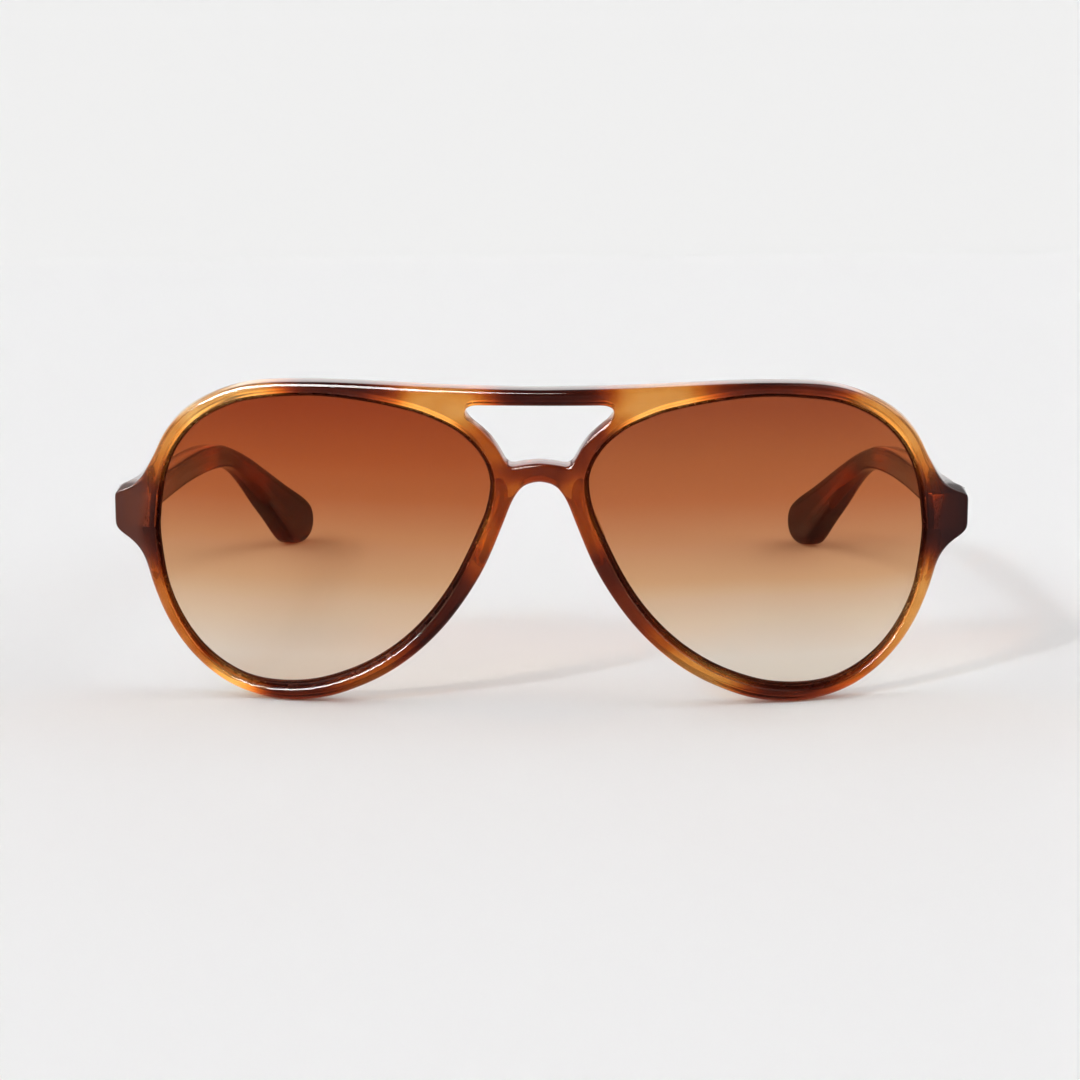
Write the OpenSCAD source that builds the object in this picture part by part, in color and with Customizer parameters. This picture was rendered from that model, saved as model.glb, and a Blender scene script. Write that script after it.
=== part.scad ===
// Pilot-shape sunglasses with a plastic front, tinted lenses and folding temples.
// The front faces -Y, the temples run back to +Y, and +X is the wearer's left.

/* [Front] */
// Overall width across the endpieces
overall_w = 146.8; // [146.8:0.1:147.4]
// Radius of the front's wrap, seen from above
wrap_r = 175; // [165:1:200]
// Thickness of the front from face to back
front_t = 4.5; // [4.2:0.1:5]
// Forward lean of the front
front_tilt = 4; // [2:0.5:6]

/* [Lenses] */
// Thickness of a lens
lens_t = 2; // [1.8:0.1:2.2]
// Depth of a lens behind the rim's face
lens_inset = 1.4; // [1.2:0.1:1.6]
// Width of the step that the rim makes round a lens
lens_lip = 0.65; // [0.5:0.05:0.8]
// Height of the tongue on the edge of a lens
tongue_h = 0.8; // [0.6:0.1:0.9]
// Thickness of the tongue on the edge of a lens
tongue_t = 1; // [0.8:0.1:1.2]

/* [Temples] */
// Thickness of a temple at the hinge
temple_t = 4; // [3.6:0.1:4]
// Backward lean of the hinge axis, square to the temple
temple_slope = 4; // [3:0.5:5]
// Side of the square core wire
wire_w = 1.2; // [0.8:0.1:1.4]

/* [Hinges] */
// Outer radius of a hinge knuckle
knuckle_r = 1.25; // [1.1:0.05:1.3]
// Height of a hinge knuckle
knuckle_h = 1.1; // [0.9:0.1:1.1]
// Gap between two knuckles
knuckle_gap = 0.06; // [0.04:0.01:0.1]
// Radius of the hinge screw's shank
screw_r = 0.7; // [0.5:0.05:0.8]
// Radial running clearance round the screw
screw_play = 0.04; // [0.02:0.01:0.08]
// Radius of the hinge screw's head
screw_head_r = 1.1; // [1:0.05:1.2]

/* [Hidden] */

$fn = 48;
shell_fn = 360;
reach = 40;
spline_steps = 4;
end_x = overall_w / 2;
depth_mid = 74.05;
rim_low = [44, wrap_r - sqrt(wrap_r * wrap_r - 44 * 44)];
rim_drop = rim_low[1] * sin(front_tilt);
boss_y = 21.2;
boss_x = 66.6;
butt_gap = 0.05;
hinge_pos = [67.8, 21.1, 31.3];
knuckle_pitch = knuckle_h + knuckle_gap;
screw_head_h = 0.6;
leaf_t = 1;

// Half outline of the front, from the middle of the brow to the endpiece
brow_pts = [[0, 55.7], [15, 55.9], [30, 56.2], [40, 56], [48.6, 55.1], [55, 52.9], [60.5, 49.5],
            [64, 45.6], [66.4, 40.9], [68.8, 36.9], [71, 35.2], [end_x, 34.2]];
// From the endpiece round under the lens and up to the middle of the nose arch
rim_pts = [[end_x, 28], [72.2, 27], [70.8, 26.2], [69.3, 24.7], [68.1, 22.4], [66.8, 18.1],
           [64.7, 13.1], [61.8, 8.6], [58.1, 4.9], [53.7, 2.1], [48.7, 0.5], [43.5, 0], [38.4, 0.6],
           [33.6, 2], [27.2, 5.1], [21.7, 9], [16.9, 13.7], [12.8, 19.1], [9.2, 25.3],
           [6.1, 32.8], [5, 35.7], [4, 37.7], [2.5, 39.4], [0, 40.1]];
// Lens opening at the front's face, from the temple side round over the top
lens_pts = [[66, 26.7], [65.8, 32.1], [64.9, 37.7], [62.8, 43.1], [59.1, 47.8], [54.4, 51], [49.1, 53],
            [39.5, 54.3], [30.9, 54], [22.3, 52.6], [17.8, 51.2], [13.2, 48.9], [9.4, 45.2],
            [7.5, 40.5], [8.1, 35.1], [10, 30.1], [14, 21.9], [18.7, 15.2], [24.5, 9.6], [31.7, 5.2],
            [40.5, 2.4], [50.4, 2.7], [58.7, 7.7], [64.1, 16.4]];
// Half of the keyhole between the brow bar and the nose bridge
keyhole_pts = [[0, 53.1], [11.2, 53.1], [12.5, 52.5], [12.5, 51.5], [11.5, 50.2], [9.8, 48.9],
               [8.1, 47.3], [6.9, 45.6], [6.1, 44.1], [5.5, 43], [4.7, 42.5], [3.4, 42.9], [0, 43.3]];
// Nose pad: its edge on the nose and its edge behind the rim
pad_nose_pts = [[10.3, 24.2], [7.9, 29.6], [6.4, 33], [5.4, 36], [5.3, 38.2], [6, 39.8], [7, 40.4]];
pad_rim_pts = [[7.7, 39.6], [7.7, 37.8], [8.5, 34.4], [10.2, 30.4], [11.6, 27]];
pad_middle = [8.5, 32.5];
pad_depth = 4.5;
pad_flare = 0.6;
pad_taper = 0.75;
// Side view of a temple as [y, z]: its top edge, its tip and its lower edge
temple_top_pts = [[14, 35.5], [35, 33.9], [53, 32.5], [78, 31.1], [92, 29.9], [102, 28.4], [109, 26.8],
                  [116, 24.7], [123, 22.1], [131, 18.4], [140, 13.7], [148, 9.5], [151.2, 6.9],
                  [152, 4], [151, 1.4], [148.6, 0.1], [146, 0]];
temple_low_pts = [[146, 0], [143.5, 0.7], [141, 2.6], [137, 6.2], [131, 11], [125, 15.7], [119, 19.4],
                  [112, 22], [104, 23.4], [92, 24.7], [75, 25.9], [55, 26.8], [14, 28]];
// Side view and plan of the middle of a temple
core_side_pts = [[33, 30.2], [55, 29.6], [78, 28.5], [95, 27], [107, 25.2], [117, 22], [127, 17],
                 [136, 11.4], [144, 6]];
core_plan_pts = [[33, 70.9], [60, 69.4], [85, 67.6], [105, 65.5], [118, 63.2], [129, 60.4],
                 [140, 56.7], [144, 55.2]];
temple_plan_pts = [[12, 71.4], [33, 70.9], [60, 69.4], [85, 67.6], [105, 65.5], [118, 63.2],
                   [129, 60.4], [140, 56.7], [154, 51.2]];

// Catmull-Rom curve between b and c
function bend(a, b, c, d, t) =
    b + t * (c - a) / 2 + t * t * (a - 2.5 * b + 2 * c - d / 2)
    + t * t * t * (1.5 * (b - c) + (d - a) / 2);
// Smooth open curve through the points, ends included
function curve(p, n = spline_steps) =
    [for (i = [0:len(p) - 2], k = [0:n - 1])
        bend(p[max(i - 1, 0)], p[i], p[i + 1], p[min(i + 2, len(p) - 1)], k / n), p[len(p) - 1]];
// Smooth closed curve through the points
function ring(p, n = spline_steps) =
    let (m = len(p))
    [for (i = [0:m - 1], k = [0:n - 1])
        bend(p[(i + m - 1) % m], p[i], p[(i + 1) % m], p[(i + 2) % m], k / n)];
function unit(v) = v / norm(v);
function left_of(v) = [-v[1], v[0]];
// The points of a counter-clockwise ring moved outwards by d
function grown(p, d) =
    let (m = len(p))
    [for (i = [0:m - 1]) p[i] - d * left_of(unit(p[(i + 1) % m] - p[(i + m - 1) % m]))];
// A band of width w along an open line
function band(p, w) =
    let (m = len(p),
         side = [for (i = [0:m - 1])
             w / 2 * left_of(unit(p[min(i + 1, m - 1)] - p[max(i - 1, 0)]))])
    concat([for (i = [0:m - 1]) p[i] + side[i]], [for (i = [m - 1:-1:0]) p[i] - side[i]]);
// Both halves of an outline that starts and ends on the middle line
function mirrored(p) =
    concat(p, [for (i = [len(p) - 2:-1:1]) [-p[i][0], p[i][1]]]);

lens_face = ring(lens_pts);
lens_edge = grown(lens_face, -lens_lip);
tongue_edge = grown(lens_edge, tongue_h);

module in_world() translate([0, -depth_mid, -rim_drop]) children();
module in_front() in_world() rotate([front_tilt, 0, 0]) children();
module at_hinge() translate(hinge_pos - [0, depth_mid, 0]) rotate([-temple_slope, 0, 0]) children();

// Part of the wrapped front between two depths behind its face
module wrap(near, far)
    translate([0, wrap_r, -5]) difference() {
        cylinder(r = wrap_r - near, h = 70, $fn = shell_fn);
        translate([0, 0, -1]) cylinder(r = wrap_r - far, h = 72, $fn = shell_fn);
    }

// An [x, z] outline run from front to back
module through(pts) translate([0, reach, 0]) rotate([90, 0, 0]) linear_extrude(reach + 5) polygon(pts);

module lens_slab(pts, near, far)
    intersection() {
        through(pts);
        wrap(near, far);
    }

module front_outline() through(mirrored(concat(curve(brow_pts), curve(rim_pts))));

// Flat-backed block on an endpiece, where the temple meets the front
module boss()
    intersection() {
        difference() {
            translate([boss_x, 5, 20]) cube([end_x - boss_x + 1, boss_y - 5, 25]);
            wrap(-20, 0);
        }
        front_outline();
    }

module lens_holes() {
    through(lens_edge);
    lens_slab(lens_face, -5, lens_inset);
    lens_slab(tongue_edge, lens_inset + (lens_t - tongue_t) / 2, lens_inset + (lens_t + tongue_t) / 2);
}

module front_frame()
    color([0.62, 0.28, 0.08]) difference() {
        in_front() difference() {
            union() {
                intersection() {
                    front_outline();
                    wrap(0, front_t);
                }
                boss();
                mirror([1, 0, 0]) boss();
            }
            lens_holes();
            mirror([1, 0, 0]) lens_holes();
            through(mirrored(keyhole_pts));
        }
        front_leaf();
        mirror([1, 0, 0]) front_leaf();
    }

module lens()
    color([0.6, 0.33, 0.2, 0.6]) in_front() {
        lens_slab(lens_edge, lens_inset, lens_inset + lens_t);
        lens_slab(tongue_edge, lens_inset + (lens_t - tongue_t) / 2,
                  lens_inset + (lens_t + tongue_t) / 2);
    }

// Pad that widens away from the nose as it goes back
module nose_pad()
    color([0.45, 0.17, 0.06]) in_front() difference() {
        hull() {
            pad_slice(2, 0, 1);
            pad_slice(front_t + pad_depth, pad_flare, pad_taper);
        }
        wrap(-20, front_t);
    }

module pad_slice(y, shift, size)
    translate([pad_middle[0] + shift, y, pad_middle[1]]) rotate([90, 0, 0]) linear_extrude(0.1)
        scale(size) translate(-pad_middle) polygon(concat(curve(pad_nose_pts), curve(pad_rim_pts)));

// One knuckle of five, counted from the lowest, with its screw bore
module knuckle(i, lug_at, lug_size)
    translate([0, 0, (i - 2) * knuckle_pitch - knuckle_h / 2]) difference() {
        union() {
            cylinder(r = knuckle_r, h = knuckle_h);
            translate(lug_at) cube(concat(lug_size, [knuckle_h]));
        }
        translate([0, 0, -1]) cylinder(r = screw_r + screw_play, h = knuckle_h + 2);
    }

module front_leaf() at_hinge() {
    for (i = [0, 2, 4]) knuckle(i, [-0.9, -3.5, 0], [1.8, 3]);
    translate([-1.1, -4.4, -3]) cube([4.6, leaf_t, 6]);
}

module temple_leaf() at_hinge() {
    for (i = [1, 3]) knuckle(i, [0.5, -0.9, 0], [1.9, 1.8]);
    translate([2.1, -0.9, -2.4]) cube([leaf_t, 12.7, 4.8]);
}

module hinge_screw()
    color([0.6, 0.58, 0.55]) at_hinge() difference() {
        union() {
            translate([0, 0, -2.5 * knuckle_pitch]) cylinder(r = screw_r, h = 5 * knuckle_pitch);
            translate([0, 0, 2 * knuckle_pitch + knuckle_h / 2])
                cylinder(r = screw_head_r, h = screw_head_h);
        }
        translate([-2, -0.15, 2 * knuckle_pitch + knuckle_h / 2 + screw_head_h / 2])
            cube([4, 0.3, screw_head_h]);
    }

// A [y, z] side view run across, and an [x, y] plan run up
module side_view(pts) rotate([90, 0, 90]) linear_extrude(90) polygon(pts);
module plan_view(pts) translate([0, 0, -5]) linear_extrude(50) polygon([for (p = pts) [p[1], p[0]]]);

module core_wire()
    color([0.7, 0.68, 0.64]) translate([0, -depth_mid, 0]) intersection() {
        side_view(band(curve(core_side_pts), wire_w));
        plan_view(band(curve(core_plan_pts), wire_w));
    }

module temple()
    color([0.5, 0.2, 0.07]) difference() {
        translate([0, -depth_mid, 0]) intersection() {
            side_view(concat(curve(temple_top_pts), curve(temple_low_pts)));
            plan_view(band(curve(temple_plan_pts), temple_t));
        }
        in_front() translate([50, -20, 0]) cube([50, 20 + boss_y + butt_gap, 60]);
        temple_leaf();
        core_wire();
    }

module front_hinge() color([0.72, 0.7, 0.66]) front_leaf();
module temple_hinge() color([0.72, 0.7, 0.66]) temple_leaf();

front_frame();
lens();  // left_lens
mirror([1, 0, 0]) lens();  // right_lens
nose_pad();  // left_nose_pad
mirror([1, 0, 0]) nose_pad();  // right_nose_pad
front_hinge();  // left_front_hinge
mirror([1, 0, 0]) front_hinge();  // right_front_hinge
temple_hinge();  // left_temple_hinge
mirror([1, 0, 0]) temple_hinge();  // right_temple_hinge
hinge_screw();  // left_hinge_screw
mirror([1, 0, 0]) hinge_screw();  // right_hinge_screw
temple();  // left_temple
mirror([1, 0, 0]) temple();  // right_temple
core_wire();  // left_core_wire
mirror([1, 0, 0]) core_wire();  // right_core_wire
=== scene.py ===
import math

import bmesh
import bpy
import numpy as np
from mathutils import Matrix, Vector
from mathutils.geometry import delaunay_2d_cdt


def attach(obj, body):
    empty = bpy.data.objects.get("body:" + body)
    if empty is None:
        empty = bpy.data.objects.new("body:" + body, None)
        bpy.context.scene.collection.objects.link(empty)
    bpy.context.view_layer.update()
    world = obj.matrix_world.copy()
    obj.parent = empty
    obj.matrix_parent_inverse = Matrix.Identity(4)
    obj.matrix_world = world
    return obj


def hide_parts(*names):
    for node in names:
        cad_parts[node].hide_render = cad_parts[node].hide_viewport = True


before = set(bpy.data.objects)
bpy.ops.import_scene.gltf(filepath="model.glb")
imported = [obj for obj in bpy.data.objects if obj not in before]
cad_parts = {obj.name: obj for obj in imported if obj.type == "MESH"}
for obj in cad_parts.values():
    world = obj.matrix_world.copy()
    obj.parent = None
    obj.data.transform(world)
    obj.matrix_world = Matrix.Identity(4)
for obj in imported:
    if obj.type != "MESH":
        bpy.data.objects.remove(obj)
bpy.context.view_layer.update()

# Outlines are in millimetres in the frame of the part they shape, and meshes are in metres.
MM = 0.001
SIDES = {"left": 1, "right": -1}

# The front: wrap radius, thickness, forward lean, and the flat boss behind each endpiece.
WRAP_R = 175.0
FRONT_T = 4.5
FRONT_TILT = math.radians(4)
END_X = 73.4
BOSS_Y = 21.2
BUTT_GAP = 0.05
DEPTH_MID = 74.05
RIM_DROP = (WRAP_R - math.sqrt(WRAP_R**2 - 44**2)) * math.sin(FRONT_TILT)

# Lens seat: how far the lens sits behind the face, and the groove that holds its tongue.
LENS_T = 2.0
LENS_INSET = 1.4
LENS_LIP = 0.65
TONGUE_H = 0.8
TONGUE_T = 1.0
SEAT_GAP = 0.05

# Temples: thickness, and the rounds of the edges outside, inside and at the butt.
TEMPLE_T = 4.0
TEMPLE_OUTER_R = 1.25
TEMPLE_INNER_R = 1.0
BUTT_ROUND = 0.15

BROW = [(0, 55.7), (15, 55.9), (30, 56.2), (40, 56), (48.6, 55.1), (55, 52.9), (60.5, 49.5),
        (64, 45.6), (66.4, 40.9), (68.8, 36.9), (71, 35.2), (END_X, 34.2)]
RIM = [(END_X, 28), (72.2, 27), (70.8, 26.2), (69.3, 24.7), (68.1, 22.4), (66.8, 18.1),
       (64.7, 13.1), (61.8, 8.6), (58.1, 4.9), (53.7, 2.1), (48.7, 0.5), (43.5, 0), (38.4, 0.6),
       (33.6, 2), (27.2, 5.1), (21.7, 9), (16.9, 13.7), (12.8, 19.1), (9.2, 25.3),
       (6.1, 32.8), (5, 35.7), (4, 37.7), (2.5, 39.4), (0, 40.1)]
LENS = [(66, 26.7), (65.8, 32.1), (64.9, 37.7), (62.8, 43.1), (59.1, 47.8), (54.4, 51), (49.1, 53),
        (39.5, 54.3), (30.9, 54), (22.3, 52.6), (17.8, 51.2), (13.2, 48.9), (9.4, 45.2),
        (7.5, 40.5), (8.1, 35.1), (10, 30.1), (14, 21.9), (18.7, 15.2), (24.5, 9.6), (31.7, 5.2),
        (40.5, 2.4), (50.4, 2.7), (58.7, 7.7), (64.1, 16.4)]
KEYHOLE = [(0, 53.1), (11.2, 53.1), (12.5, 52.5), (12.5, 51.5), (11.5, 50.2), (9.8, 48.9),
           (8.1, 47.3), (6.9, 45.6), (6.1, 44.1), (5.5, 43), (4.7, 42.5), (3.4, 42.9), (0, 43.3)]
PAD_NOSE = [(10.3, 24.2), (7.9, 29.6), (6.4, 33), (5.4, 36), (5.3, 38.2), (6, 39.8), (7, 40.4)]
PAD_RIM = [(7.7, 39.6), (7.7, 37.8), (8.5, 34.4), (10.2, 30.4), (11.6, 27)]
PAD_MIDDLE = (8.5, 32.5)
PAD_DEPTH = 4.5
PAD_ROUND = 1.1
# Heights between which the pad grows to its full depth, and its share of the depth below them.
PAD_FOOT = (24.5, 31)
PAD_FOOT_SHARE = 0.15
TEMPLE_TOP = [(14, 35.5), (35, 33.9), (53, 32.5), (78, 31.1), (92, 29.9), (102, 28.4), (109, 26.8),
              (116, 24.7), (123, 22.1), (131, 18.4), (140, 13.7), (148, 9.5), (151.2, 6.9),
              (152, 4), (151, 1.4), (148.6, 0.1), (146, 0)]
TEMPLE_LOW = [(146, 0), (143.5, 0.7), (141, 2.6), (137, 6.2), (131, 11), (125, 15.7), (119, 19.4),
              (112, 22), (104, 23.4), (92, 24.7), (75, 25.9), (55, 26.8), (14, 28)]
TEMPLE_PLAN = [(12, 71.4), (33, 70.9), (60, 69.4), (85, 67.6), (105, 65.5), (118, 63.2),
               (129, 60.4), (140, 56.7), (154, 51.2)]


# ---------------------------------------------------------------- outlines

def curve(points, closed=False, steps=12):
    """Catmull-Rom curve through the points, as an array of points."""
    p = np.array(points, float)
    n = len(p)
    at = (lambda i: p[i % n]) if closed else (lambda i: p[min(max(i, 0), n - 1)])
    out = []
    for i in range(n if closed else n - 1):
        a, b, c, d = at(i - 1), at(i), at(i + 1), at(i + 2)
        for t in np.arange(steps) / steps:
            out.append(b + t * (c - a) / 2 + t**2 * (a - 2.5 * b + 2 * c - d / 2)
                       + t**3 * (1.5 * (b - c) + (d - a) / 2))
    return np.array(out if closed else out + [p[-1]])


def even(loop, spacing, passes=4):
    """A closed loop resampled at an even spacing, with its corners eased by a few smoothing passes."""
    closed = np.vstack([loop, loop[:1]])
    along = np.concatenate([[0], np.cumsum(np.linalg.norm(np.diff(closed, axis=0), axis=1))])
    n = int(along[-1] / spacing)
    at = np.linspace(0, along[-1], n, endpoint=False)
    out = np.column_stack([np.interp(at, along, closed[:, k]) for k in range(2)])
    for _ in range(passes):
        out = (np.roll(out, 1, 0) + 2 * out + np.roll(out, -1, 0)) / 4
    return out


def outward(loop):
    """Unit normals of a closed loop, away from what it encloses."""
    along = np.roll(loop, -1, 0) - np.roll(loop, 1, 0)
    normal = np.column_stack([along[:, 1], -along[:, 0]])
    area = np.sum(loop[:, 0] * np.roll(loop[:, 1], -1) - loop[:, 1] * np.roll(loop[:, 0], -1))
    return normal * np.sign(area) / np.linalg.norm(normal, axis=1)[:, None]


def mirrored(half):
    """A closed loop from a half that starts and ends on the middle line."""
    half = np.asarray(half, float)
    return np.vstack([half, (half * [-1, 1])[-2:0:-1]])


def smoothstep(low, high, value):
    t = np.clip((value - low) / (high - low), 0, 1)
    return t * t * (3 - 2 * t)


def inside(points, loop):
    """Which points lie inside a closed loop."""
    x, y = points[:, 0][:, None], points[:, 1][:, None]
    a, b = loop, np.roll(loop, -1, 0)
    crosses = (a[:, 1] > y) != (b[:, 1] > y)
    rise = np.where(b[:, 1] == a[:, 1], 1e-12, b[:, 1] - a[:, 1])
    hit = x < (b[:, 0] - a[:, 0]) * (y - a[:, 1]) / rise + a[:, 0]
    return np.sum(crosses & hit, axis=1) % 2 == 1


# ---------------------------------------------------------------- meshes

def arc(radius, steps=5):
    """A quarter round from a wall to a face: how far it has come in, and how deep it still is."""
    turn = np.linspace(0, math.pi / 2, steps + 1)
    return radius * (1 - np.cos(turn)), radius * (1 - np.sin(turn))


class Solid:
    """A closed mesh made of rings of points joined by walls, and faces filled between end rings."""

    def __init__(self):
        self.points, self.faces = [], []

    def ring(self, points):
        first = len(self.points)
        self.points += [tuple(p) for p in points]
        return list(range(first, len(self.points)))

    def wall(self, rings):
        for low, high in zip(rings, rings[1:]):
            n = len(low)
            self.faces += [(low[i], low[(i + 1) % n], high[(i + 1) % n], high[i]) for i in range(n)]

    def fill(self, loops, place, spacing, extra=()):
        """Triangles between flat loops, given as (ring ids, flat points), the outer loop first."""
        flat = np.vstack([points for _, points in loops])
        ids = [i for ring, _ in loops for i in ring]
        edges, first = [], 0
        for ring, _ in loops:
            n = len(ring)
            edges += [(first + i, first + (i + 1) % n) for i in range(n)]
            first += n
        low, high = flat.min(0), flat.max(0)
        grid = np.array([(x, y) for x in np.arange(low[0], high[0], spacing)
                         for y in np.arange(low[1], high[1], spacing)]) + 0.0137
        if len(extra):
            near = np.min(np.abs(grid[:, 0][:, None] - np.unique(extra[:, 0])), axis=1) < 0.6 * spacing
            grid = np.vstack([grid[~near], extra])
        keep = inside(grid, loops[0][1])
        for _, hole in loops[1:]:
            keep &= ~inside(grid, hole)
        grid = grid[keep]
        if len(grid):
            gap = np.min(np.linalg.norm(grid[:, None] - flat[None, :], axis=2), axis=1)
            grid = grid[gap > 0.3 * spacing]
        every = np.vstack([flat, grid])
        found = delaunay_2d_cdt([Vector(p) for p in every], edges, [], 0, 1e-6)
        corners, origins = found[0], found[3]
        middles = np.array([np.mean([corners[i] for i in f], axis=0) for f in found[2]])
        keep = inside(middles, loops[0][1])
        for _, hole in loops[1:]:
            keep &= ~inside(middles, hole)
        new = {}
        for i, source in enumerate(origins):
            known = [s for s in source if s < len(ids)]
            if known:
                new[i] = ids[known[0]]
            else:
                new[i] = len(self.points)
                self.points.append(tuple(place(np.array([corners[i]]))[0]))
        self.faces += [tuple(new[i] for i in f) for f, k in zip(found[2], keep) if k]

    def object(self, name, sharp=40):
        mesh = bpy.data.meshes.new(name)
        mesh.from_pydata(self.points, [], self.faces)
        return finished(name, mesh, sharp)


def finished(name, mesh, sharp=40):
    """A mesh cleaned, turned outwards, smoothed up to an angle, and put in the scene."""
    work = bmesh.new()
    work.from_mesh(mesh)
    loose = [v for v in work.verts if not v.link_faces]
    bmesh.ops.delete(work, geom=loose, context="VERTS")
    bmesh.ops.recalc_face_normals(work, faces=work.faces)
    work.to_mesh(mesh)
    work.free()
    mesh.shade_smooth()
    mesh.set_sharp_from_angle(angle=math.radians(sharp))
    piece = bpy.data.objects.new(name, mesh)
    bpy.context.scene.collection.objects.link(piece)
    return piece


# ---------------------------------------------------------------- the front's own frame

def to_row(points):
    """Points in the front's own frame, in millimetres, to the row frame in metres."""
    x, y, z = np.asarray(points, float).T
    c, s = math.cos(FRONT_TILT), math.sin(FRONT_TILT)
    return np.column_stack([x, y * c - z * s - DEPTH_MID, y * s + z * c - RIM_DROP]) * MM


def at_depth(x, depth):
    """Distance back to the wrapped surface that lies depth behind the face."""
    return WRAP_R - np.sqrt((WRAP_R - depth) ** 2 - x**2)


def back_of(x):
    """Distance back to the rear surface, which turns into the flat boss behind the endpieces."""
    plain = at_depth(np.minimum(np.abs(x), END_X), FRONT_T)
    return plain + (BOSS_Y - plain) * smoothstep(65.9, 67.1, np.abs(x))


def on_front(flat, depth=0.0, from_back=False):
    """Outline points placed at a depth behind the face, or in front of the rear surface."""
    x, z = flat[:, 0], flat[:, 1]
    y = back_of(x) - depth if from_back else at_depth(x, depth)
    return to_row(np.column_stack([x, y, z]))


def walled(solid, loop, profile):
    """Rings round a loop. profile rows are (offset outwards, depth, measured from the back)."""
    normal = outward(loop)
    rings, flats = [], []
    for offset, depth, from_back in profile:
        flat = loop + normal * np.broadcast_to(offset, len(loop))[:, None]
        rings.append(solid.ring(on_front(flat, depth, from_back)))
        flats.append(flat)
    solid.wall(rings)
    return (rings[0], flats[0]), (rings[-1], flats[-1])


def rounded_edge(front_r, back_r, sign):
    """Profile of an edge with a round at the face and at the back. sign is -1 where material is inside."""
    rows = []
    for come_in, deep in zip(*arc(1.0, 7)):
        rows.insert(0, (sign * front_r * come_in, front_r * deep, False))
        rows.append((sign * back_r * come_in, back_r * deep, True))
    rows.insert(0, (sign * (front_r + HOLD), 0.0, False))
    rows.append((sign * (back_r + HOLD), 0.0, True))
    return rows


FACE_ROUND = 0.95
BACK_ROUND = 0.8
SHARP_ROUND = 0.3
LIP_ROUND = 0.45
OUTLINE_STEP = 0.5
# Width of the strip beside a round that keeps the flat face flat.
HOLD = 0.12
# Rows of the lens hole's wall that make the lip, and the row that meets the lens. Both take painted shade: a
# darker lip acetate, and a matt dark line at the seat.
LIP_ROWS = (6, 8)
SEAT_ROWS = (8, 9)
# The lip's slope down to the lens, as (share of the way in, depth).
LIP_SLOPE = [(0.35, 0.95), (0.78, 1.25), (1, LENS_INSET)]


def lens_hole_profile():
    """From the rim's face, over the lip, down to the lens, round the groove and out at the back."""
    come_in, deep = arc(LIP_ROUND)
    rows = [(LIP_ROUND + HOLD, 0.0, False)] + [(o, d, False) for o, d in zip(come_in[::-1], deep[::-1])]
    seat = SEAT_GAP - LENS_LIP
    top = LENS_INSET + (LENS_T - TONGUE_T) / 2 - SEAT_GAP / 2
    low = LENS_INSET + (LENS_T + TONGUE_T) / 2 + SEAT_GAP / 2
    floor = seat + TONGUE_H
    rows += [(seat * share, depth, False) for share, depth in LIP_SLOPE]
    rows += [(seat, top, False), (floor, top, False), (floor, low, False), (seat, low, False)]
    come_in, deep = arc(FRONT_T - low - 0.15, 5)
    rows += [(seat + o, FRONT_T - d, False) for o, d in zip(come_in, deep)]
    return rows


def front_outline():
    right = np.vstack([curve(BROW), curve(RIM)])
    return even(mirrored(right), OUTLINE_STEP, 3)


def make_front():
    solid = Solid()
    outline = front_outline()
    taper = smoothstep(67.5, 71, np.abs(outline[:, 0]))
    face_r = FACE_ROUND + (SHARP_ROUND - FACE_ROUND) * taper
    back_r = BACK_ROUND + (SHARP_ROUND - BACK_ROUND) * taper
    face, rear = [], []
    ends = walled(solid, outline, rounded_edge(face_r, back_r, -1))
    face.append(ends[0])
    rear.append(ends[1])
    lens = even(curve(LENS, closed=True), OUTLINE_STEP)
    bands = []
    for side in SIDES.values():
        first = len(solid.faces)
        # Slot 1 on the seat rows is the matt dark line of painted shade. Slot 2 on the lip rows is the darker
        # lip acetate with its painted shade.
        for index, (low, high) in enumerate((SEAT_ROWS, LIP_ROWS), 1):
            bands.append((index, first + low * len(lens), first + high * len(lens)))
        ends = walled(solid, lens * [side, 1], lens_hole_profile())
        face.append(ends[0])
        rear.append(ends[1])
    keyhole = even(mirrored(KEYHOLE), OUTLINE_STEP * 0.7, 6)
    ends = walled(solid, keyhole, rounded_edge(0.6, 0.5, 1))
    face.append(ends[0])
    rear.append(ends[1])
    solid.fill(face, on_front, 1.1)
    step_x = np.linspace(65.8, 67.2, 9)
    step_z = np.arange(15, 50, 0.5)
    boss_wall = np.array([(s * x, z) for s in SIDES.values() for x in step_x for z in step_z])
    solid.fill(rear, lambda flat: on_front(flat, 0.0, True), 1.1, boss_wall)
    front = solid.object("front_acetate", sharp=35)
    for index, low, high in bands:
        for polygon in front.data.polygons[low:high]:
            polygon.material_index = index
    return front


def make_lens(side, name):
    solid = Solid()
    edge = even(curve(LENS, closed=True), OUTLINE_STEP * 1.5)
    edge = (edge - outward(edge) * LENS_LIP) * [side, 1]
    top = LENS_INSET + (LENS_T - TONGUE_T) / 2
    profile = [(-0.1, LENS_INSET, False), (0, LENS_INSET + 0.1, False), (0, top, False),
               (TONGUE_H, top, False), (TONGUE_H, top + TONGUE_T, False), (0, top + TONGUE_T, False),
               (0, LENS_INSET + LENS_T - 0.1, False), (-0.1, LENS_INSET + LENS_T, False)]
    face, rear = walled(solid, edge, profile)
    ground = len(solid.faces)
    solid.fill([face], lambda flat: on_front(flat, LENS_INSET), 2.5)
    solid.fill([rear], lambda flat: on_front(flat, LENS_INSET + LENS_T), 2.5)
    lens = solid.object(name, sharp=15)
    # The lens's ground edge takes slot 1, the matt dark line of painted shade at the seat.
    for polygon in lens.data.polygons[:ground]:
        polygon.material_index = 1
    return lens


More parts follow.
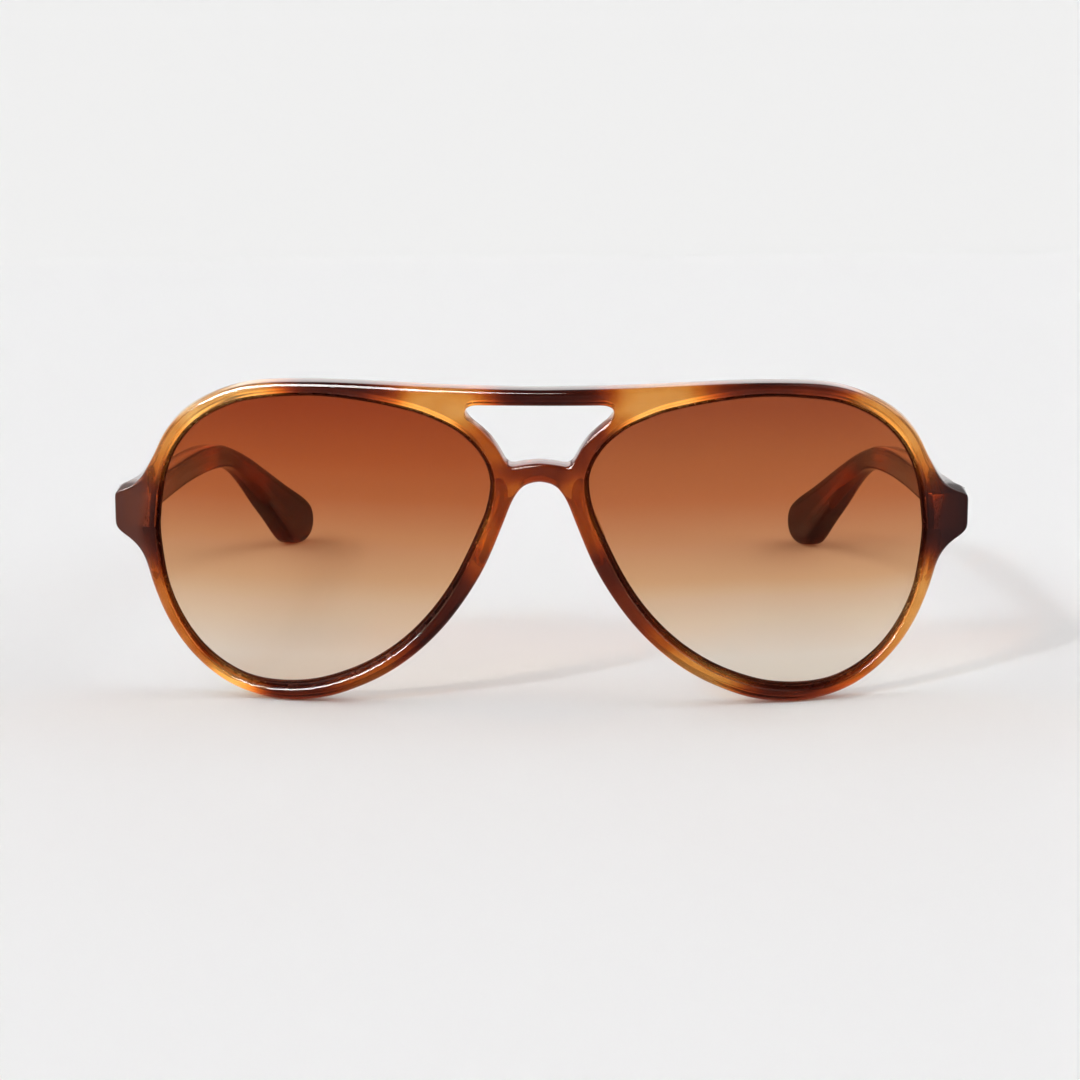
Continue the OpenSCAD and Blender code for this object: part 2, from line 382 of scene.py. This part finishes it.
def make_pad(side, name):
    """A pad that leaves the rim at its full outline, narrows, and flares away from the nose."""
    solid = Solid()
    outline = even(np.vstack([curve(PAD_NOSE), curve(PAD_RIM)]), 0.35, 8)
    middle = np.array(PAD_MIDDLE)
    rings = []
    rear = FRONT_T + PAD_DEPTH

    def place(flat, t):
        y = back_of(flat[:, 0]) - 0.03
        full = PAD_FOOT_SHARE + (1 - PAD_FOOT_SHARE) * smoothstep(*PAD_FOOT, flat[:, 1])
        y = y + (rear - y) * t * full
        return to_row(np.column_stack([flat[:, 0], y, flat[:, 1]]))

    come_in, deep = arc(PAD_ROUND, 6)
    rows = [(t, 0.0) for t in np.linspace(0, 0.72, 5)]
    rows += [(1 - d / (rear - FRONT_T), o) for o, d in zip(come_in, deep)]
    for t, inset in rows:
        flat = (outline - middle) * (1 - 0.2 * t) + middle + [0.5 * t, 0]
        flat = flat - outward(flat) * inset
        rings.append((solid.ring(place(flat * [side, 1], t)), flat * [side, 1]))
    solid.wall([r for r, _ in rings])
    solid.fill([rings[0]], lambda flat: place(flat, 0.0), 1.0)
    solid.fill([rings[-1]], lambda flat: place(flat, 1.0), 1.0)
    return solid.object(name, sharp=50)


# ---------------------------------------------------------------- temples

def plan_x(y):
    """Sideways place of a temple's middle at a distance back."""
    plan = curve(TEMPLE_PLAN)
    return np.interp(y, plan[:, 0], plan[:, 1])


def behind_boss(line):
    """How far points of the side view lie behind the endpiece's boss."""
    own_y = line[:, 0] * math.cos(FRONT_TILT) + (line[:, 1] + RIM_DROP) * math.sin(FRONT_TILT)
    return own_y - BOSS_Y


def temple_outline():
    """Side view of a temple from the plane where it butts against the endpiece."""
    cut = []
    for line in (curve(TEMPLE_TOP), curve(TEMPLE_LOW)):
        gap = behind_boss(line) - BUTT_GAP
        i = np.where(np.diff(np.sign(gap)) != 0)[0][0]
        t = gap[i] / (gap[i] - gap[i + 1])
        corner = line[i] + t * (line[i + 1] - line[i])
        whole = line[gap > 0]
        cut.append(np.vstack([whole, [corner]] if cut else [[corner], whole]))
    return even(np.vstack(cut), OUTLINE_STEP, 2)


def make_temple(side, name):
    solid = Solid()
    outline = temple_outline()
    near_butt = 1 - smoothstep(0.3, 2.5, behind_boss(outline))
    outer_r = TEMPLE_OUTER_R + (BUTT_ROUND - TEMPLE_OUTER_R) * near_butt
    inner_r = TEMPLE_INNER_R + (BUTT_ROUND - TEMPLE_INNER_R) * near_butt

    def place(flat, deep):
        y = flat[:, 0]
        lean = plan_x(y + 0.5) - plan_x(y - 0.5)
        thick = TEMPLE_T * np.sqrt(1 + lean**2)
        x = plan_x(y) + thick / 2 - deep * thick / TEMPLE_T
        return np.column_stack([x * side, y - DEPTH_MID, flat[:, 1]]) * MM

    normal = outward(outline)
    rings, flats = [], []
    come_in, deep = arc(1.0)
    rows = [(outer_r * o, outer_r * d) for o, d in zip(come_in[::-1], deep[::-1])]
    rows += [(inner_r * o, TEMPLE_T - inner_r * d) for o, d in zip(come_in, deep)]
    for inset, depth in rows:
        flat = outline - normal * np.asarray(inset)[:, None]
        rings.append(solid.ring(place(flat, depth)))
        flats.append(flat)
    solid.wall(rings)
    solid.fill([(rings[0], flats[0])], lambda f: place(f, 0), 1.6)
    solid.fill([(rings[-1], flats[-1])], lambda f: place(f, TEMPLE_T), 1.6)
    return solid.object(name, sharp=40)


# ---------------------------------------------------------------- metal

def make_metal(node, name, width):
    """A packed metal part with its edges broken by a small chamfer."""
    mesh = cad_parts[node].data.copy()
    mesh.name = name
    work = bmesh.new()
    work.from_mesh(mesh)
    bmesh.ops.remove_doubles(work, verts=work.verts, dist=2e-6)
    bmesh.ops.dissolve_limit(work, angle_limit=math.radians(2), verts=work.verts, edges=work.edges)
    work.to_mesh(mesh)
    work.free()
    mesh.materials.clear()
    piece = finished(name, mesh, 30)
    bevel = piece.modifiers.new("edge", "BEVEL")
    bevel.width = width
    bevel.segments = 2
    bevel.limit_method = "ANGLE"
    bevel.angle_limit = math.radians(40)
    return piece


# ---------------------------------------------------------------- materials

# Pigment scale of the acetate, from clear honey to near black, as (place, base colour).
PIGMENT = [(0.0, (1.0, 0.72, 0.36)), (0.22, (0.83, 0.42, 0.12)), (0.42, (0.58, 0.17, 0.028)),
           (0.6, (0.31, 0.055, 0.015)), (0.78, (0.13, 0.02, 0.009)), (1.0, (0.055, 0.009, 0.006))]
CLARITY = [(0.0, 0.84), (0.25, 0.82), (0.6, 0.78), (1.0, 0.65)]
# Colour the clear base of the acetate keeps, and how strongly it takes off the rest, per metre.
BASE_TINT = (0.96, 0.71, 0.09)
BASE_STRENGTH = 260.0
ACETATE_IOR = 1.49
MILKY_CLARITY = 0.12
# Power that weakens the tint of light passing straight through.
THROUGH_GAMMA = 0.3

# Patches in the front's acetate as (x, z, half width, half height, pigment added), in millimetres.
FRONT_PATCHES = [
    (-62, 45, 5, 8, -0.25), (65, 40, 4, 6, -0.15), (-65.3, 30, 2.5, 8, 0.3),
    (64.6, 32, 1.8, 8, 0.22), (-10.5, 29, 3, 7, -0.2),
    (-53, 53, 10.7, 4.5, -0.42), (-16.6, 52.2, 9, 4, -0.36), (-34.2, 55, 8.5, 2.8, 0.52),
    (2, 54, 9.5, 2.8, 0.54), (20, 52.8, 9.5, 4.2, -0.34), (39.3, 55, 10.7, 2.8, 0.38),
    (60, 48.6, 7.2, 6.6, -0.3), (69, 31.4, 5.2, 6.6, 0.42), (-70.4, 31.2, 4.8, 6.6, 0.2),
    (-63, 13, 4.8, 10.7, -0.14), (-54, 3, 6.6, 4.1, -0.3), (-42, 1, 7.2, 2.6, 0.33),
    (-17, 15.5, 6, 8.5, 0.38), (-11.5, 25, 4, 6, 0.2), (12, 25, 3, 5, 0.1),
    (0, 41.8, 6, 2.2, 0.22), (8.3, 45.2, 2.8, 5.2, 0.18), (13, 20, 6, 8.6, 0.24),
    (26.3, 6.8, 7.2, 3.8, -0.3), (42, 1.8, 9, 2.6, 0.34), (63, 15, 5.2, 10.7, -0.34), (55, 5.7, 4.1, 3.4, -0.1)]

# Milky endpieces as (x where it starts, x where it is full, colour).
MILKY_ENDS = [(-66, -69.5, (0.12, 0.038, 0.026)), (66, 69.5, (0.035, 0.009, 0.008))]

# Patches in the temples' acetate, by distance back and height.
TEMPLE_PATCHES = [(-48, 32, 12, 8, 0.3), (-26, 31, 9, 8, -0.1), (-2, 30, 14, 8, 0.2),
                  (20, 28, 8, 8, -0.22), (34, 26, 9, 8, 0.25), (50, 16, 9, 9, -0.22),
                  (68, 6, 14, 9, 0.18)]

# Tint of the lens by height in millimetres.
LENS_TINT = [(8, (0.90, 0.77, 0.64)), (14.7, (0.84, 0.62, 0.43)), (21.7, (0.73, 0.41, 0.215)),
             (28.8, (0.60, 0.255, 0.11)), (35.7, (0.49, 0.14, 0.046)), (42.7, (0.42, 0.093, 0.026)),
             (51.3, (0.325, 0.055, 0.016)), (56, (0.30, 0.047, 0.013))]

# The same for the wearer's left lens, made a shade paler and pinker by a painted reflection of light on it.
LENS_TINT_LEFT_PAINTED_VEIL = [(8, (0.92, 0.86, 0.76)), (14.7, (0.86, 0.68, 0.50)), (21.7, (0.74, 0.42, 0.22)),
                  (28.8, (0.60, 0.263, 0.12)), (35.7, (0.50, 0.155, 0.055)),
                  (42.7, (0.43, 0.12, 0.04)), (51.3, (0.335, 0.076, 0.027)), (56, (0.31, 0.066, 0.022))]


class Shading:
    """A material under construction, with short ways to add nodes and link them."""

    def __init__(self, name):
        self.mat = bpy.data.materials.new(name)
        self.mat.use_nodes = True
        self.tree = self.mat.node_tree
        self.shader = self.tree.nodes["Principled BSDF"]

    def put(self, socket, value):
        if isinstance(value, bpy.types.NodeSocket):
            self.tree.links.new(value, socket)
        else:
            socket.default_value = value

    def add(self, kind, *values, **settings):
        """A node with its first inputs set or linked in order, and its first output handed back."""
        node = self.tree.nodes.new(kind)
        for key, value in settings.items():
            setattr(node, key, value)
        for socket, value in zip(node.inputs, values):
            self.put(socket, value)
        return node.outputs[0]

    def math(self, operation, *values, clamp=False):
        return self.add("ShaderNodeMath", *values, operation=operation, use_clamp=clamp)

    def vector(self, operation, *values):
        node = self.tree.nodes.new("ShaderNodeVectorMath")
        node.operation = operation
        for socket, value in zip(node.inputs, values):
            self.put(socket, value)
        return node.outputs["Value" if operation == "LENGTH" else "Vector"]

    def millimetres(self):
        coord = self.tree.nodes.new("ShaderNodeTexCoord").outputs["Object"]
        return self.vector("MULTIPLY", coord, (1 / MM,) * 3)

    def noise(self, where, size, detail=2.0, rough=0.5):
        """Noise from 0 to 1, plain and as a colour, with features of a size in the units of where."""
        node = self.tree.nodes.new("ShaderNodeTexNoise")
        self.put(node.inputs["Vector"], where)
        node.inputs["Scale"].default_value = 1 / size
        node.inputs["Detail"].default_value = detail
        node.inputs["Roughness"].default_value = rough
        return node.outputs["Fac"], node.outputs["Color"]

    def scaled(self, value, low, high, new_low, new_high, smooth=False):
        node = self.tree.nodes.new("ShaderNodeMapRange")
        node.interpolation_type = "SMOOTHSTEP" if smooth else "LINEAR"
        self.put(node.inputs["Value"], value)
        limits = {"From Min": low, "From Max": high, "To Min": new_low, "To Max": new_high}
        for key, limit in limits.items():
            node.inputs[key].default_value = limit
        return node.outputs["Result"]

    def ramp(self, value, stops):
        node = self.tree.nodes.new("ShaderNodeValToRGB")
        band = node.color_ramp
        while len(band.elements) < len(stops):
            band.elements.new(0.5)
        for element, (at, colour) in zip(band.elements, stops):
            element.position = at
        for element, (at, colour) in zip(band.elements, stops):
            element.color = (*colour, 1) if isinstance(colour, tuple) else (colour,) * 3 + (1,)
        self.put(node.inputs["Fac"], value)
        return node.outputs["Color"]

    def set(self, **values):
        for key, value in values.items():
            self.put(self.shader.inputs[key.replace("_", " ")], value)

    def mix(self, share, first, second):
        """A blend of two colours."""
        node = self.tree.nodes.new("ShaderNodeMix")
        node.data_type = "RGBA"
        for socket, value in zip((node.inputs[0], node.inputs[6], node.inputs[7]), (share, first, second)):
            self.put(socket, value)
        return node.outputs[2]

    def gamma(self, colour, power):
        node = self.tree.nodes.new("ShaderNodeGamma")
        node.inputs["Gamma"].default_value = power
        self.put(node.inputs["Color"], colour)
        return node.outputs["Color"]

    def light_through(self, colour):
        """Shadow rays and diffuse rays pass straight through, with a weak tint."""
        through = self.tree.nodes.new("ShaderNodeBsdfTransparent")
        self.put(through.inputs["Color"], self.gamma(colour, THROUGH_GAMMA))
        mix = self.tree.nodes.new("ShaderNodeMixShader")
        path = self.tree.nodes.new("ShaderNodeLightPath").outputs
        self.put(mix.inputs[0], self.math("MAXIMUM", path["Is Shadow Ray"], path["Is Diffuse Ray"]))
        self.put(mix.inputs[1], self.shader.outputs["BSDF"])
        self.put(mix.inputs[2], through.outputs["BSDF"])
        self.put(self.tree.nodes["Material Output"].inputs["Surface"], mix.outputs["Shader"])

    def bump(self, height, strength, distance):
        node = self.tree.nodes.new("ShaderNodeBump")
        node.inputs["Strength"].default_value = strength
        node.inputs["Distance"].default_value = distance
        self.put(node.inputs["Height"], height)
        self.put(self.shader.inputs["Normal"], node.outputs["Normal"])


def acetate(name, patches, plane, base, drift, mottle_size, ior=ACETATE_IOR,
            strength=BASE_STRENGTH, milky=(), rough=0.03):
    """Polished tortoise acetate: a soft mottle, listed patches of pigment, and milky ends."""
    m = Shading(name)
    where = m.millimetres()
    _, swirl = m.noise(where, 9.0, 1.5)
    bent = m.vector("MULTIPLY_ADD", m.vector("SUBTRACT", swirl, (0.5,) * 3), (5.0,) * 3, where)
    mottle, _ = m.noise(bent, mottle_size, 2.5, 0.45)
    pigment = m.scaled(mottle, 0.25, 0.75, base - drift, base + drift)
    for across, up, wide, high, amount in patches:
        size = [1 / wide if plane == "xz" else 0, 1 / wide if plane == "yz" else 0, 1 / high]
        if plane == "yz":
            centre = [0, across * size[1], up * size[2]]
        else:
            centre = [across * size[0], 0, up * size[2]]
        away = m.vector("LENGTH", m.vector("MULTIPLY_ADD", bent, size, [-c for c in centre]))
        part = m.scaled(away, 0.4, 1.65, amount, 0, smooth=True)
        pigment = m.math("ADD", pigment, part)
    pigment = m.math("ADD", pigment, 0.0, clamp=True)
    grain, _ = m.noise(where, 2.2, 3)
    colour, clear = m.ramp(pigment, PIGMENT), m.ramp(pigment, CLARITY)
    for low, high, milk in milky:
        split = m.tree.nodes.new("ShaderNodeSeparateXYZ")
        m.put(split.inputs[0], bent)
        share = m.scaled(split.outputs["X"], low, high, 0, 1, smooth=True)
        colour = m.mix(share, colour, (*milk, 1))
        clear = m.mix(share, clear, (MILKY_CLARITY,) * 3 + (1,))
    m.light_through(colour)
    m.set(Base_Color=colour, Transmission_Weight=clear,
          Roughness=m.scaled(grain, 0.3, 0.7, rough / 3, rough), IOR=ior, Specular_Tint=(0.2, 0.2, 0.2, 1))
    m.bump(m.noise(where, 6.0, 1.0)[0], 0.1, 0.03 * MM)
    inside = m.tree.nodes.new("ShaderNodeVolumeAbsorption")
    inside.inputs["Color"].default_value = (*BASE_TINT, 1)
    inside.inputs["Density"].default_value = strength
    m.put(m.tree.nodes["Material Output"].inputs["Volume"], inside.outputs["Volume"])
    return m.mat


def seat_shade_line():
    """Matt dark line where the lens's ground edge meets the rim, painted as the shade of the seat groove."""
    m = Shading("seat_shade_line")
    grain, _ = m.noise(m.millimetres(), 0.8, 3)
    m.set(Base_Color=m.ramp(grain, [(0.3, (0.04, 0.010, 0.005)), (0.7, (0.09, 0.019, 0.008))]),
          Roughness=m.scaled(grain, 0.3, 0.7, 0.6, 0.8), IOR=1.05)
    m.bump(grain, 0.1, 0.02 * MM)
    return m.mat


def lens_tint(m, where):
    """Colour of the lens, dark brown at the top and nearly clear at the bottom, with the wearer's left lens
    paler from a painted reflection.
    """
    split = m.tree.nodes.new("ShaderNodeSeparateXYZ")
    m.put(split.inputs[0], where)
    drift, _ = m.noise(where, 22.0, 1.0)
    height = m.math("ADD", split.outputs["Z"], m.scaled(drift, 0, 1, -0.8, 0.8))
    high = 60.0
    place = m.scaled(height, 0, high, 0, 1)
    tints = [m.ramp(place, [(at / high, colour) for at, colour in table])
             for table in (LENS_TINT, LENS_TINT_LEFT_PAINTED_VEIL)]
    # Blend towards the wearer's left lens, at positive x, whose tint holds the painted reflection.
    return m.mix(m.scaled(split.outputs["X"], -1, 1, 0, 1), *tints)


def lens_glass():
    """Polished lens that lets light through."""
    m = Shading("lens_glass")
    where = m.millimetres()
    tint = lens_tint(m, where)
    m.set(Base_Color=tint, Transmission_Weight=1.0, IOR=1.4, Specular_Tint=(0.12, 0.12, 0.12, 1),
          Roughness=m.scaled(m.noise(where, 5.0, 2.0)[0], 0.3, 0.7, 0.0, 0.012))
    m.light_through(tint)
    return m.mat


def metal(name, colour, low_rough, high_rough):
    """Drawn metal with a fine brushed grain."""
    m = Shading(name)
    where = m.millimetres()
    grain, _ = m.noise(m.vector("MULTIPLY", where, (1, 1, 0.2)), 0.1, 2)
    wear, _ = m.noise(where, 1.6, 3)
    m.set(Base_Color=m.ramp(wear, [(0.3, tuple(0.94 * c for c in colour)), (0.7, colour)]),
          Metallic=1.0, Roughness=m.scaled(grain, 0.3, 0.7, low_rough, high_rough))
    m.bump(grain, 0.02, 0.01 * MM)
    return m.mat


def floor_paint():
    m = Shading("floor_paint")
    coord = m.tree.nodes.new("ShaderNodeTexCoord").outputs["Object"]
    grain, _ = m.noise(coord, 0.004, 2)
    m.set(Base_Color=(0.9, 0.9, 0.9, 1), Roughness=m.scaled(grain, 0.3, 0.7, 0.85, 0.95))
    m.shader.inputs["Specular IOR Level"].default_value = 0.0
    return m.mat


# ---------------------------------------------------------------- build

glass, painted_seat_shade = lens_glass(), seat_shade_line()
front = make_front()
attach(front, "front")
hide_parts("front_frame")
front.data.materials.append(acetate("front_tortoise", FRONT_PATCHES, "xz", 0.5, 0.1, 7.0,
                                    milky=MILKY_ENDS))
# Slot 1: the matt dark line, painted shade where lens and rim meet.
front.data.materials.append(painted_seat_shade)
# The lip down to the lens: a darker pigment painted as shade of the recess, and a rough, weakly reflecting
# finish.
front.data.materials.append(acetate("front_lip_painted_shade", FRONT_PATCHES, "xz", 0.58, 0.1, 7.0, 1.04,
                                    milky=MILKY_ENDS, rough=0.35))

pad_acetate = acetate("pad_tortoise", [], "xz", 0.0, 0.08, 7.0, strength=120.0)
temple_acetate = acetate("temple_tortoise", TEMPLE_PATCHES, "yz", 0.74, 0.25, 16.0, 1.28)
hinge_metal = metal("hinge_metal", (0.72, 0.70, 0.66), 0.22, 0.38)
screw_metal = metal("screw_metal", (0.62, 0.61, 0.60), 0.15, 0.28)
wire_metal = metal("wire_metal", (0.60, 0.58, 0.54), 0.25, 0.4)
for word, side in SIDES.items():
    lens = make_lens(side, word + "_lens_blank")
    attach(lens, "front")
    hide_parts(word + "_lens")
    lens.data.materials.append(glass)
    # The lens's edge takes the same matt dark line of painted shade.
    lens.data.materials.append(painted_seat_shade)
    pad = make_pad(side, word + "_pad")
    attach(pad, "front")
    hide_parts(word + "_nose_pad")
    pad.data.materials.append(pad_acetate)
    temple = make_temple(side, word + "_arm_acetate")
    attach(temple, word + "_arm")
    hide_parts(word + "_temple")
    temple.data.materials.append(temple_acetate)
    for node, body, slot in ((word + "_front_hinge", "front", "hinge_metal"),
                             (word + "_temple_hinge", word + "_arm", "hinge_metal"),
                             (word + "_hinge_screw", "front", "screw_steel")):
        part = make_metal(node, node + "_part", 0.08 * MM)
        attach(part, body)
        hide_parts(node)
        part.data.materials.append(screw_metal if "screw" in node else hinge_metal)
    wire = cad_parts[word + "_core_wire"]
    wire.data.materials.clear()
    wire.data.materials.append(wire_metal)


# ---------------------------------------------------------------- stage

def make_floor():
    work = bmesh.new()
    bmesh.ops.create_grid(work, x_segments=8, y_segments=8, size=40)
    mesh = bpy.data.meshes.new("floor")
    work.to_mesh(mesh)
    work.free()
    floor = bpy.data.objects.new("floor", mesh)
    bpy.context.scene.collection.objects.link(floor)
    floor.data.materials.append(floor_paint())


# Soft lights as (degrees right of the front, elevation, half angle, soft edge, radiance added).
LIGHTS = [(-34, 33, 3.5, 1.5, (48, 48, 48)), (-95, 42, 24, 8, (1.54, 1.54, 1.54)),
          (95, 42, 24, 8, (1.54, 1.54, 1.54)), (180, 17, 12, 5, (1.65, 1.6, 1.57)),
          (140, 17, 12, 5, (1.65, 1.6, 1.57)), (-140, 17, 12, 5, (1.65, 1.6, 1.57))]
AMBIENT = 0.263
HORIZON = 0.86


def toward(turn, rise):
    """Unit vector some degrees right of the front and some degrees up."""
    t, r = math.radians(turn), math.radians(rise)
    return Vector((math.sin(t) * math.cos(r), -math.cos(t) * math.cos(r), math.sin(r)))


def make_world():
    """An even pale dome with soft lights placed round it."""
    world = bpy.data.worlds.new("studio")
    world.use_nodes = True
    tree = world.node_tree
    coord = tree.nodes.new("ShaderNodeTexCoord").outputs["Generated"]
    split = tree.nodes.new("ShaderNodeSeparateXYZ")
    tree.links.new(coord, split.inputs[0])
    haze = tree.nodes.new("ShaderNodeMapRange")
    haze.interpolation_type = "SMOOTHSTEP"
    for key, value in (("From Min", 0.03), ("From Max", 0.1), ("To Min", HORIZON), ("To Max", AMBIENT)):
        haze.inputs[key].default_value = value
    tree.links.new(split.outputs["Z"], haze.inputs["Value"])
    total = haze.outputs["Result"]
    for turn, rise, half, soft, colour in LIGHTS:
        dot = tree.nodes.new("ShaderNodeVectorMath")
        dot.operation = "DOT_PRODUCT"
        tree.links.new(coord, dot.inputs[0])
        dot.inputs[1].default_value = toward(turn, rise)
        edge = tree.nodes.new("ShaderNodeMapRange")
        edge.interpolation_type = "SMOOTHSTEP"
        edge.inputs["From Min"].default_value = math.cos(math.radians(half + soft))
        edge.inputs["From Max"].default_value = math.cos(math.radians(half))
        tree.links.new(dot.outputs["Value"], edge.inputs["Value"])
        add = tree.nodes.new("ShaderNodeVectorMath")
        add.operation = "MULTIPLY_ADD"
        tree.links.new(edge.outputs["Result"], add.inputs[0])
        add.inputs[1].default_value = colour
        tree.links.new(total, add.inputs[2])
        total = add.outputs["Vector"]
    tree.links.new(total, tree.nodes["Background"].inputs["Color"])
    bpy.context.scene.world = world


def make_strip():
    """A long softbox up on the left that shows in polished edges."""
    data = bpy.data.lights.new("strip", "AREA")
    data.shape = "RECTANGLE"
    data.size, data.size_y = 2.1, 1.0
    data.energy = 650
    strip = bpy.data.objects.new("strip", data)
    away = toward(-54, 46)
    strip.location = away * 1.5 + Vector((0, -0.06, 0.03))
    strip.rotation_euler = (-away).to_track_quat("-Z", "Y").to_euler()
    strip.visible_diffuse = False
    strip.visible_transmission = False
    bpy.context.scene.collection.objects.link(strip)


def make_camera():
    """Camera 600 mm from the front, 11 degrees up and a touch to the wearer's left."""
    target = Vector((0, 4 - DEPTH_MID, 28.5)) * MM
    rise, turn = 11.1, 0.85
    data = bpy.data.cameras.new("camera")
    data.sensor_width = 36
    data.lens = 118
    data.clip_end = 50
    camera = bpy.data.objects.new("camera", data)
    camera.location = target + toward(turn, rise) * 0.6
    camera.rotation_euler = (math.radians(90 - rise), 0, math.radians(turn))
    bpy.context.scene.collection.objects.link(camera)
    bpy.context.scene.camera = camera


make_floor()
make_world()
make_strip()
make_camera()
bpy.context.scene.view_settings.view_transform = "Standard"
bpy.context.scene.cycles.use_denoising = True
bpy.context.scene.cycles.caustics_reflective = False
bpy.context.scene.cycles.caustics_refractive = False
